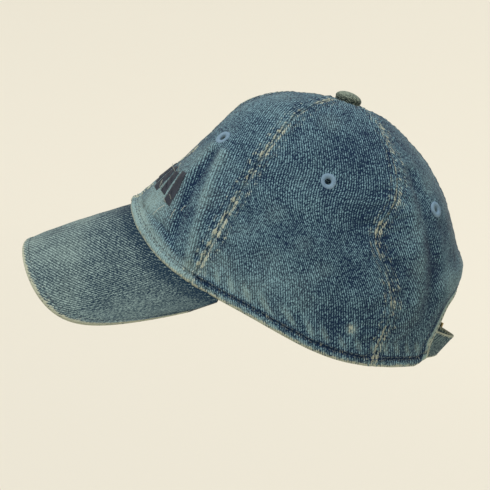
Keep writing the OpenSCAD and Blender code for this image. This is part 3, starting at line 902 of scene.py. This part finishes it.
def build_tape(name, phi, run, t_end, rows, seed):
    """Tape pressed over a seam, its long edges rounded."""
    t = column_of(FIRST_T, t_end, rows)
    k = row_of(-1, 1, 9)
    line = phi + run * t**2
    reach = norm(crown(line, t)[..., :2])
    angle = line + k * np.minimum(24, np.degrees(TAPE_HALF / reach))
    round_edge = 0.22 * smooth(np.abs(k), 0.75, 1.0)
    depths = (1.55 + round_edge, 2.1 - round_edge)
    return lining("tape_" + name, "seam_tape_" + name, angle, t, depths, seed, "tape", TAPE)


def build_tapes():
    for name, (phi, run) in TAPES.items():
        obj = build_tape(name, phi, run, 0.975, 120, 20)[0]
    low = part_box("seam_tape_back")[0].z / MM
    t = np.linspace(FIRST_T, 0.98, 300)
    t_end = t[np.argmin(np.abs(crown(90, t)[:, 2] - low))]
    obj, outer = build_tape("back", 90, 0, t_end, 80, 27)


def build_band():
    """Sweatband: folded lower edge, a stitched channel near it, small ripples along the top."""
    phi = column_of(62, -242, 420)
    k = row_of(0, 1, 34)
    turn = np.radians(phi)
    t = 0.985 - k * BAND_WIDTH / BAND_RUN - hem_lift(phi) / SIDE_RUN
    ripple = 0.105 * k * np.sin(turn * 26 + 3 * k) + 0.075 * np.sin(turn * 11)
    puff = 0.35 * hill(k - 0.02, 0.05) - 0.4 * hill(k - 0.13, 0.025)
    puff = puff + 0.1 * np.sin(turn * 120) * hill(k - 0.13, 0.05)
    depth = 2.4 + 4.4 * smooth(np.degrees(np.arcsin(oval(np.sin(turn)))), 16, 34)
    outer = cloth_point(phi, t, depth + 0.1 + ripple)
    inner = cloth_point(phi, t, depth + 1.0 + puff + ripple)
    obj = sheet("sweatband_cloth", outer, inner, {"cloth": cloth_map(crown(phi, t), 30)})
    finish_piece(obj, BAND, ["sweatband"])


def build_facing():
    """Facing behind the rim of the back opening, worn where its edge shows."""
    k = column_of(FACING_FROM, FACING_TO, 10)
    phi, t = arch(row_of(180, 0, 150), k)
    t = np.minimum(t, 0.995 - hem_lift(phi) / BACK_RUN)
    depths = (PANEL_T + 0.25, PANEL_T + 0.8)
    wear = 0.5 * hill(k - FACING_FROM, 0.02)
    names = ("facing_cloth", "opening_facing")
    obj, outer = lining(*names, phi, t, depths, 33, "denim", UNDER_DENIM, wear=wear)


def build_label():
    """Blank woven label, slightly curled."""
    phi = row_of(8, 20, 30)
    t = column_of(0.70, 0.86, 30)
    curl = 0.25 * np.sin(np.radians(phi) * 30) * smooth(-t, -0.8, -0.7)
    depths = (1.9 + curl, 2.15 + curl)
    obj = lining("label_cloth", "care_label", phi, t, depths, 36, "label", LABEL)[0]


build_tapes()
build_band()
build_facing()
build_label()


# ---- embroidery and loose threads

BAR_COUNT, BAR_PITCH, BAR_HALF, BAR_LEAN, BAR_MID_T = 9, 7.9, 2.9, -1, 0.77
LOOSE_THREADS = 9


def tube(points, radius, sides=6):
    """Thin tube along points, closed at both ends: its own points and faces."""
    along = unit(np.gradient(points, axis=0))
    side = unit(np.cross(along, [0.2, 0.3, 0.9]))
    other = np.cross(along, side)
    angles = np.arange(sides) * 2 * math.pi / sides
    ring = side[:, None] * np.cos(angles)[None, :, None] + other[:, None] * np.sin(angles)[None, :, None]
    verts = (points[:, None] + radius * ring).reshape(-1, 3)
    return verts, tube_faces(len(points), sides)


def satin_bar(i, rng):
    """Outer and inner grid of one leaning bar of the embroidery, with its rows of thread."""
    u = row_of(-1, 1, 13)
    v = column_of(-1.5, 1.5, 90)
    tall = 0.13 if i % 2 == 0 else 0.10
    jag = 0.10 * np.sign(u) * rng.uniform(-1, 1, size=(90, 1)) * smooth(np.abs(u), 0.8, 1)
    phi = -90 + (i - (BAR_COUNT - 1) / 2) * BAR_PITCH + (u + jag) * BAR_HALF - v * BAR_LEAN
    t = np.broadcast_to(BAR_MID_T + v / 3 * tall, phi.shape)
    base = crown(phi, t)
    lift = sway(t, base) + 0.5 * fine_relief(phi, t, base)[0]
    thread = 0.55 + 0.10 * np.cos(v * 90 + 1.3 * u)
    puff = 0.15 + thread * np.sqrt(1.02 - u**2) * np.sqrt(1.03 - (v / 1.5) ** 8)
    normal = crown_normal(phi, t)
    return base + (lift + puff)[..., None] * normal, base + (lift - 0.3)[..., None] * normal


def loose_thread(rng):
    """Line of a short thread end that stands away from the cloth and sags."""
    phi, t = rng.uniform(-72, -47), rng.uniform(0.69, 0.86)
    heading = unit(rng.normal(size=3) * [0.3, 1, 1])
    s = column_of(0, 1, 16)
    reach = rng.uniform(5, 10)
    sag = rng.normal(size=3) * 1.6
    rise = crown_normal(phi, t) * 0.9 * np.sin(s * 3.1)
    return cloth_point(phi, t, -0.9) + heading * reach * (s - 0.3) + rise + sag * s**2 * (1 - s)


def joined(name, shapes, sharp):
    """One mesh from pairs of points and faces."""
    starts = np.cumsum([0] + [len(verts) for verts, _ in shapes])
    faces = np.concatenate([cells + start for (_, cells), start in zip(shapes, starts)])
    return make_mesh(name, np.concatenate([verts for verts, _ in shapes]), faces, sharp=sharp)


def build_motif():
    """Row of leaning satin bars, and thread ends that have come loose beside it."""
    rng = np.random.default_rng(SEED + 50)
    bars = []
    for i in range(BAR_COUNT):
        skins = satin_bar(i, rng)
        rows, cols = skins[0].shape[:2]
        cells = sheet_faces(rows, cols, np.ones((rows - 1, cols - 1), bool))
        bars.append((np.concatenate([skin.reshape(-1, 3) for skin in skins]), cells))
    sewn = joined("embroidery_bars", bars, 70)
    finish_piece(sewn, MOTIF_THREAD, ["front_embroidery"])
    loose = joined("loose_threads", [tube(loose_thread(rng), 0.16) for _ in range(LOOSE_THREADS)], 80)
    finish_piece(loose, PALE_THREAD)


build_motif()


# ---- eyelets and the button


def build_eyelet(name, phi, t):
    """Radial satin stitch round an open hole."""
    centre = cloth_point(phi, t, PANEL_T / 2)
    normal = crown_normal(phi, t)
    down = unit(crown(phi, t + 0.02) - crown(phi, t - 0.02))
    side = np.cross(normal, down)
    rng = np.random.default_rng(SEED + int(abs(phi) * 3))
    around = np.linspace(0, 2 * math.pi, 181)[:-1][None, :]
    ring = np.linspace(0, 2 * math.pi, 25)[:-1][:, None]
    thread = np.abs(np.sin(around * 21 + 0.5 * np.sin(around * 3)))
    jag = np.repeat(rng.normal(0, 0.14, 60), 3)[None, :]
    half_w = 1.5 + 0.5 * jag * (np.cos(ring) > 0)
    r = EYELET_RING + half_w * np.cos(ring) + 0.06 * thread * np.sin(ring)
    h = (1.18 + 0.16 * thread) * np.sign(np.sin(ring)) * np.abs(np.sin(ring)) ** 0.8
    x, y = r * np.cos(around), r * np.sin(around)
    points = centre + x[..., None] * side + y[..., None] * down + h[..., None] * normal
    idx = np.arange(r.size).reshape(r.shape)
    below, right = np.roll(idx, -1, 0), np.roll(idx, -1, 1)
    faces = np.stack([idx, right, np.roll(below, -1, 1), below], -1).reshape(-1, 4)
    obj = make_mesh(name + "_stitching", points.reshape(-1, 3), faces, sharp=80)
    finish_piece(obj, EYELET_THREAD, [name])


for spot, (spot_phi, spot_t) in EYELETS.items():
    build_eyelet(f"eyelet_{spot}_left", spot_phi, spot_t)
    build_eyelet(f"eyelet_{spot}_right", 180 - spot_phi, spot_t)


def rings_up(r, around, z):
    """Points of rings round the Z axis."""
    return points_of(r * np.cos(around), r * np.sin(around), z)


def build_button():
    """Covered button: cloth drawn over a dome, with small pleats where it turns under."""
    low, high = (np.array(corner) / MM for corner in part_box("button_cover"))
    radius, rise = (high[0] - low[0]) / 2, high[2] - low[2]
    turn, belt, core = 0.76, 0.36 * rise, 0.91
    share = column_of(0.003, 1, 36)
    around = row_of(0, 2 * math.pi, 145)
    pleat = smooth(share, 0.7, 1.0) * 0.07 * (np.sin(around * 17) + 0.5 * np.sin(around * 9 + 1))
    slack = 0.10 * np.sin(3 * around + 6 * share) * share * (1 - share)
    under = smooth(share, 0.70, 1.0)
    bend = np.clip(share / turn, 0, 1) * math.pi / 2
    edge = radius * np.sin(bend) ** 0.92 * (1 - 0.06 * under**1.4)
    z = belt + (rise - belt) * np.cos(bend) - belt * smooth(share, turn, 1.0)
    outer = rings_up(edge + pleat, around, BUTTON_Z + z + slack)
    inner = rings_up(core * edge, around, BUTTON_Z + 0.1 + np.maximum(z - 0.62, 0.0))
    cloth = rings_up(radius * share * 1.5, around, 300.0)
    # Painted light: the top of the dome is made paler and the cloth that turns under darker, as light from
    # above would fall.
    shade = 0.75 * (1 - smooth(share, 0.0, turn) ** 3) - 1.0 * under
    obj = sheet("button_cloth", outer, inner, {"cloth": cloth, "relief": pleat, "fade_and_shade": shade})
    finish_piece(obj, BUTTON_DENIM, ["button_cover"])


build_button()


# ---- bill

BILL_CORNER, RIM_POWER, RIM_FLARE, TIP_DROOP = -15, 2.15, 0.23, 3.8
BILL_LEN, BILL_BEND, BILL_SLOPE, BILL_TUCK, BILL_DROP = 68, 69, 36, 1.5, 1.6
BOARD_T, COVER_T = 1.8, 0.8
BOARD_FACE, RIM_STITCH = BOARD_T / 2 + 0.06, 4.6
SLOPE = math.radians(BILL_SLOPE)
ALONG = np.array([0, -math.cos(SLOPE), -math.sin(SLOPE)])
LIFT = np.array([0, -math.sin(SLOPE), math.cos(SLOPE)])


def bill_root(a):
    phi = -90 + a * (90 + BILL_CORNER)
    return crown(phi, 1) - BILL_TUCK * crown_normal(phi, np.ones_like(phi)) - [0, 0, BILL_DROP]


BILL_START = bill_root(np.array(0.0))


def bent(p):
    v = p - BILL_START
    up = v @ LIFT + BILL_BEND
    return np.degrees(np.arctan2(v[..., 0], up)), np.hypot(v[..., 0], up), v @ ALONG


CORNER = bent(bill_root(np.array(1.0)))


def bill_mid(a, s):
    root_angle, root_radius, root_along = bent(bill_root(a))
    u = np.abs(a) ** 0.8
    rim_angle = np.sign(a) * CORNER[0] * (u + RIM_FLARE * np.sin(math.pi * np.clip(u, 0, 1)))
    rim_radius = BILL_BEND + (CORNER[1] - BILL_BEND) * u**4
    rim_along = CORNER[2] + (BILL_LEN - CORNER[2]) * np.clip(1 - u**RIM_POWER, 0, 1) ** (1 / RIM_POWER)
    angle = np.radians(root_angle * (1 - s) + rim_angle * s)
    radius = root_radius * (1 - s) + rim_radius * s
    q = root_along * (1 - s) + rim_along * s
    drop = TIP_DROOP * np.maximum(q / BILL_LEN, 0) ** 2.5
    side, lift = radius * np.sin(angle), radius * np.cos(angle) - BILL_BEND - drop
    return BILL_START + side[..., None] * [1, 0, 0] + q[..., None] * ALONG + lift[..., None] * LIFT


def bill_point(a, s, h):
    da = bill_mid(a + 0.005, s) - bill_mid(a - 0.005, s)
    ds = bill_mid(a, np.minimum(s + 0.01, 1)) - bill_mid(a, np.maximum(s - 0.01, 0))
    return bill_mid(a, s) + h[..., None] * unit(np.cross(ds, da))


BILL_SPAN, BILL_COLS = 0.985, 181
NEAR_RIM = [0.962, 0.972, 0.98, 0.987, 0.993, 0.997, 1.0]
BILL_ROWS = np.concatenate([[-0.03, 0], np.linspace(0.02, 0.95, 60), NEAR_RIM])


def bill_grid():
    """Places across and out over the bill, columns a little closer towards its corners."""
    even = np.linspace(-1, 1, BILL_COLS)
    return np.meshgrid(BILL_SPAN * (0.6 * even + 0.4 * np.sin(even * math.pi / 2)), BILL_ROWS)


def bill_relief(a, gap, middle):
    """Waves, the ridge of the bound rim and the puckers along its stitching."""
    wave = wave_field(middle, 48, 0.22, 4, 8) + wave_field(middle, 17, 0.10, 5, 9)
    wave = wave + wave_field(middle, 8, 0.05, 5, 10)
    pucker = 0.12 * hill(gap - 4.4, 1.6) * np.sin(2 * math.pi * a * 60)
    ridge = 0.22 * fall(gap, 3.2, 4.6) - 0.30 * hill(gap - RIM_STITCH, 0.8)
    return wave * smooth(gap, 2, 12) + ridge + pucker


def bill_fade_and_shadow(a, root_gap, middle):
    """Paler along the middle, and a painted shadow that darkens it towards the root, under the crown's hem.
    """
    shaded = 0.9 * fall(root_gap, 1.5, 10) + 0.6 * fall(root_gap, 5, 42)
    return 0.4 * (1 - np.abs(a)) - 0.05 - shaded + 0.12 * wave_field(middle, 30, 1.0, 6, 12)


def build_bill():
    """Top and bottom cover over the board, brought together round the rim."""
    a, s = bill_grid()
    middle, rim, root = bill_mid(a, s), bill_mid(a, np.ones_like(s)), bill_mid(a, np.zeros_like(s))
    gap = norm(middle - rim)
    relief = bill_relief(a, gap, middle)
    wear = np.clip(1.25 * hill(gap, 2.1) + 0.2 * hill(gap - 4, 3.5), 0, 1)
    # This tone holds a painted shadow of the crown's hem along the bill's root, besides the paler middle
    # and mottling.
    fade_and_shade = bill_fade_and_shadow(a, norm(middle - root), middle)
    layers = {"cloth": cloth_map(middle, 9), "relief": relief, "wear": wear, "fade_and_shade": fade_and_shade}
    round_rim = np.sqrt(1 - np.clip(1 - gap / 2.2, 0, 1) ** 2)
    thick = (BOARD_FACE + COVER_T + np.maximum(relief, -0.3)) * round_rim + 0.16 * (1 - round_rim)
    low = np.where(gap > 1.9, BOARD_FACE, 0.03 + (BOARD_FACE - 0.03) * smooth(gap, 0.2, 1.9))
    low = np.minimum(low, thick - 0.1)
    tuck = (3.0 * fall(s, -0.03, 0.02))[..., None] * [0, 0, 1]
    for side, name, node, material in (
        (1, "bill_top", "bill_top_cover", BILL_DENIM),
        (-1, "bill_under", "bill_bottom_cover", UNDER_DENIM),
    ):
        skins = [bill_point(a, s, side * height) + tuck for height in (thick, low)][::side]
        obj = sheet(name, *skins, layers, sharp=60)
        finish_piece(obj, material, [node])


def build_bill_stitches():
    """One row of stitches inside the rim, on both covers."""
    a = np.linspace(-0.955, 0.955, 500)
    across = norm(bill_mid(a, np.ones_like(a)) - bill_mid(a, np.zeros_like(a)))
    s = 1 - RIM_STITCH / across
    height = np.full(a.shape, BOARD_FACE + COVER_T - 0.15)
    up, down = (bill_point(a, s, side * height)[s > 0.1] for side in (1, -1))
    normal = unit(up - down)
    sew("bill_stitches", [(up, normal), (down, -normal)], 3.2, 2.3, 0.27)


build_bill()
build_bill_stitches()


# ---- strap and its tab

STRAP_OUT, STRAP_T, STRAP_W, STRAP_LEAN = 68.7, 1.4, 19, 1.4
STRAP_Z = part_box("strap")[0].z / MM
STRAP_FROM, STRAP_TO = -55, 54
STRAP_STITCH = 2.3
CLASP_ANGLE, BAR_ALONG, BAR_OUT = 17.5, 10.6, 1.15
TAB_LOOP = 1.16  # radius of the middle of the cloth where it goes round the clasp's end bar


def round_strap(r, angle, z):
    """Points at a radius, an angle and a height round the strap's axis."""
    turn = np.radians(angle)
    return points_of(-r * np.sin(turn), STRAP_AXIS_Y + r * np.cos(turn), z)


def ribbon_rows(width, near, count):
    """Heights across a ribbon of cloth, closer together at both edges."""
    brim = np.array([0, 0.3, 0.8])
    return np.concatenate([brim, np.linspace(near, width - near, count), width - brim[::-1]])


def rolled(edge):
    """How far a ribbon's faces turn in over the last millimetre of each edge, as a share."""
    return 1 - np.sqrt(1 - np.clip(1 - edge, 0, 1) ** 2)


def strap_flare(angle, w):
    """How far the strap's free span bows out, more at its upper edge, and how its height changes."""
    bow = smooth(angle, -31, -14) * fall(angle, -12, 0)
    return bow * (4.4 + 7.4 * w / STRAP_W), bow * (2.5 - 0.19 * w)


def sew_strap(obj, material):
    """The strap is sewn at the wearer's left and slides through the clasp; this gives it its material and
    bakes its transform into its mesh.
    """
    obj.data.materials.append(material)
    start, end = (round_strap(np.array(STRAP_OUT), np.array(a), STRAP_Z) * MM for a in (-20.0, 9.0))
    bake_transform(obj)


def strap_line(up):
    """Line of stitches along the strap at a height above its lower edge."""
    arc = np.linspace(STRAP_FROM + 1, STRAP_TO - 1, 300)
    flare, drop = strap_flare(arc, up)
    line = round_strap(STRAP_OUT - STRAP_LEAN * up / STRAP_W - 0.1 + flare, arc, STRAP_Z + up + drop)
    return line, unit(line * [1, 1, 0] - [0, STRAP_AXIS_Y, 0])


def build_strap():
    """Folded denim strap with a row of stitches along each worn edge."""
    angle = row_of(STRAP_TO, STRAP_FROM, 260)
    w = ribbon_rows(STRAP_W, 1.5, 22)[:, None]
    edge = np.minimum(w, STRAP_W - w)
    roll = 0.45 * rolled(edge)
    ripple = 0.07 * np.sin(angle * 1.9 + 2 * np.sin(angle * 0.31)) * hill(edge - 1.6, 2)
    relief = 0.10 * hill(edge - 1.2, 0.6) - 0.16 * hill(edge - STRAP_STITCH, 0.45) + ripple
    flare, drop = strap_flare(angle, w)
    middle = STRAP_OUT - STRAP_LEAN * w / STRAP_W + flare
    outer = round_strap(middle - roll + relief, angle, STRAP_Z + w + drop)
    inner = round_strap(middle - STRAP_T + roll, angle, STRAP_Z + w + drop)
    cloth = points_of(angle * 1.2, w, 500.0)
    wear = np.clip(1.25 * hill(edge, 1.2) + 0.25 * hill(edge - 2, 1.5), 0, 1)
    obj = sheet("strap_cloth", outer, inner, {"cloth": cloth, "relief": relief, "wear": wear})
    sew_strap(obj, STRAP_DENIM)
    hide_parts("strap")
    lines = [strap_line(up) for up in (STRAP_STITCH, STRAP_W - STRAP_STITCH)]
    sew_strap(stitches("strap_stitches", lines, 3.0, 2.2, 0.26), SEAM_THREAD)


def tab_path(bar):
    """The tab's way in plan: along the strap's arc from the side, then round the clasp's end bar."""
    out = unit(bar - [0, STRAP_AXIS_Y])
    on = np.array([-out[1], out[0]])
    bar_angle = math.degrees(math.atan2(-out[0], out[1]))
    straight = round_strap(STRAP_OUT + 0.8, np.linspace(41, bar_angle + 2.1, 50), 0)[:, :2]
    q = np.radians(np.linspace(30, 262, 40))[:, None]
    loop = bar + TAB_LOOP * (np.cos(q) * on + np.sin(q) * out)
    return np.concatenate([straight, loop])


def build_tab():
    """Tab folded round the clasp's end bar, as one band of cloth along a path."""
    path = tab_path(bar_centre())
    ahead = unit(np.gradient(path, axis=0))
    side = np.stack([-ahead[:, 1], ahead[:, 0]], -1)
    run = row_of(0, 1, len(path))
    tall = STRAP_W - 0.4
    w = ribbon_rows(tall, 1.6, 16)[:, None]
    edge = np.minimum(w, tall - w)
    half = (0.4 - 0.09 * smooth(run, 0.5, 0.66) - 0.3 * rolled(edge))[..., None] * side
    z = np.broadcast_to(STRAP_Z + 0.2 + w, half.shape[:2])[..., None]
    outer, inner = (np.concatenate([path + offset, z], -1) for offset in (half, -half))
    cloth = points_of(run * 40, z[..., 0], 540.0)
    wear = np.maximum(0.9 * hill(edge, 0.9), 0.8 * smooth(run, 0.6, 0.8))
    obj = sheet("tab_cloth", outer, inner, {"cloth": cloth, "wear": wear})
    finish_piece(obj, STRAP_DENIM, ["clasp_tab"])


def bar_centre():
    """Axis of the clasp's end bar in plan, along from the clasp's middle and a little out."""
    turn = math.radians(CLASP_ANGLE)
    x, y = -BAR_ALONG, STRAP_OUT + BAR_OUT
    across = x * math.cos(turn) - y * math.sin(turn)
    return np.array([across, STRAP_AXIS_Y + x * math.sin(turn) + y * math.cos(turn)])


build_strap()
build_tab()


# ---- CAD metal and board keep their shapes and get materials


def dress_cad(node, material, bevel=0.0):
    obj = frame["nodes"][node]
    obj.data.materials.clear()
    obj.data.materials.append(material)
    if bevel:
        mod = obj.modifiers.new("edges", "BEVEL")
        mod.width = bevel * MM
        mod.segments = 2
        mod.limit_method = "ANGLE"
        mod.harden_normals = False


for cad_node in ("clasp_frame", "clasp_lever"):
    dress_cad(cad_node, BRASS, 0.15)
dress_cad("clasp_pin", BRASS)
for cad_node in ("button_shell", "button_stud", "button_backing_washer"):
    dress_cad(cad_node, STEEL)
dress_cad("bill_board", BOARD)


# ---- stage, lights and camera

LOW, HIGH = (np.array(v) for v in cad_bounds)
CENTRE = (LOW + HIGH) / 2
FLOOR_DROP = 0.26
# How the camera is turned, in degrees, and how it stands and looks, in metres and millimetres of lens
AZIMUTH, ELEVATION, ROLL = 1.5, 6.9, 20.5
DISTANCE, AIM_SHIFT, LENS = 0.9515, (0, -0.0028, -0.0197), 117.1


def build_stage():
    """Pale floor that curves up into a backdrop all round."""
    rings, count = 40, 96
    share = column_of(0.0, 1.0, rings)
    around = np.linspace(0, 2 * math.pi, count + 1)[:-1][None, :]
    flat, radius = 1.9, 3.4
    r = np.where(share < 0.5, share * 2 * flat, flat + (radius - flat) * np.sin((share - 0.5) * math.pi))
    z = np.where(share < 0.5, 0, 2.6 * (1 - np.cos((share - 0.5) * math.pi)))
    points = rings_up(r, around, z + LOW[2] - FLOOR_DROP)
    idx = np.arange(rings * count).reshape(rings, count)
    nxt = np.roll(idx, -1, 1)
    faces = np.stack([idx[:-1], idx[1:], nxt[1:], nxt[:-1]], -1).reshape(-1, 4)
    floor = make_mesh("floor", points.reshape(-1, 3) / MM, faces)
    material, _, shader = new_material("floor_paint")
    shader.inputs["Base Color"].default_value = srgb(166, 162, 153)
    shader.inputs["Emission Color"].default_value = srgb(238, 233, 215)
    shader.inputs["Emission Strength"].default_value = 0.445
    shader.inputs["Roughness"].default_value = 0.9
    floor.data.materials.append(material)


def add_light(name, offset, softness, power, colour):
    data = bpy.data.lights.new(name, "SUN")
    data.angle, data.energy, data.color = math.radians(softness), power, colour
    light = bpy.data.objects.new(name, data)
    bpy.context.scene.collection.objects.link(light)
    light.location = Vector(CENTRE) + Vector(offset)
    light.rotation_mode = "QUATERNION"
    light.rotation_quaternion = Vector(offset).to_track_quat("Z", "Y")


def build_world():
    world = bpy.data.worlds.new("studio")
    bpy.context.scene.world = world
    world.use_nodes = True
    sky = world.node_tree.nodes["Background"]
    sky.inputs[0].default_value = (1.0, 0.995, 0.985, 1.0)
    sky.inputs[1].default_value = 0.52


def build_camera():
    """Long lens from the wearer's left, rolled as the cap is tipped in its picture."""
    azimuth, elevation, roll = (math.radians(v) for v in (AZIMUTH, ELEVATION, ROLL))
    flat = math.cos(elevation)
    back = Vector((flat * math.cos(azimuth), -flat * math.sin(azimuth), math.sin(elevation)))
    aim = Vector(CENTRE) + Vector(AIM_SHIFT)
    data = bpy.data.cameras.new("camera")
    data.lens, data.sensor_width = LENS, 36
    cam = bpy.data.objects.new("camera", data)
    bpy.context.scene.collection.objects.link(cam)
    right = Vector((math.sin(azimuth), math.cos(azimuth), 0))
    up = right.cross(-back)
    rolled_right = right * math.cos(roll) + up * math.sin(roll)
    rolled_up = up * math.cos(roll) - right * math.sin(roll)
    turn = Matrix((rolled_right, rolled_up, back)).transposed()
    cam.matrix_world = Matrix.Translation(aim + back * DISTANCE) @ turn.to_4x4()
    bpy.context.scene.camera = cam


build_stage()
add_light("key", (0.45, -0.62, 0.95), 24, 2.3, (1.0, 0.99, 0.97))
build_world()
build_camera()
bpy.context.scene.view_settings.view_transform = "Standard"
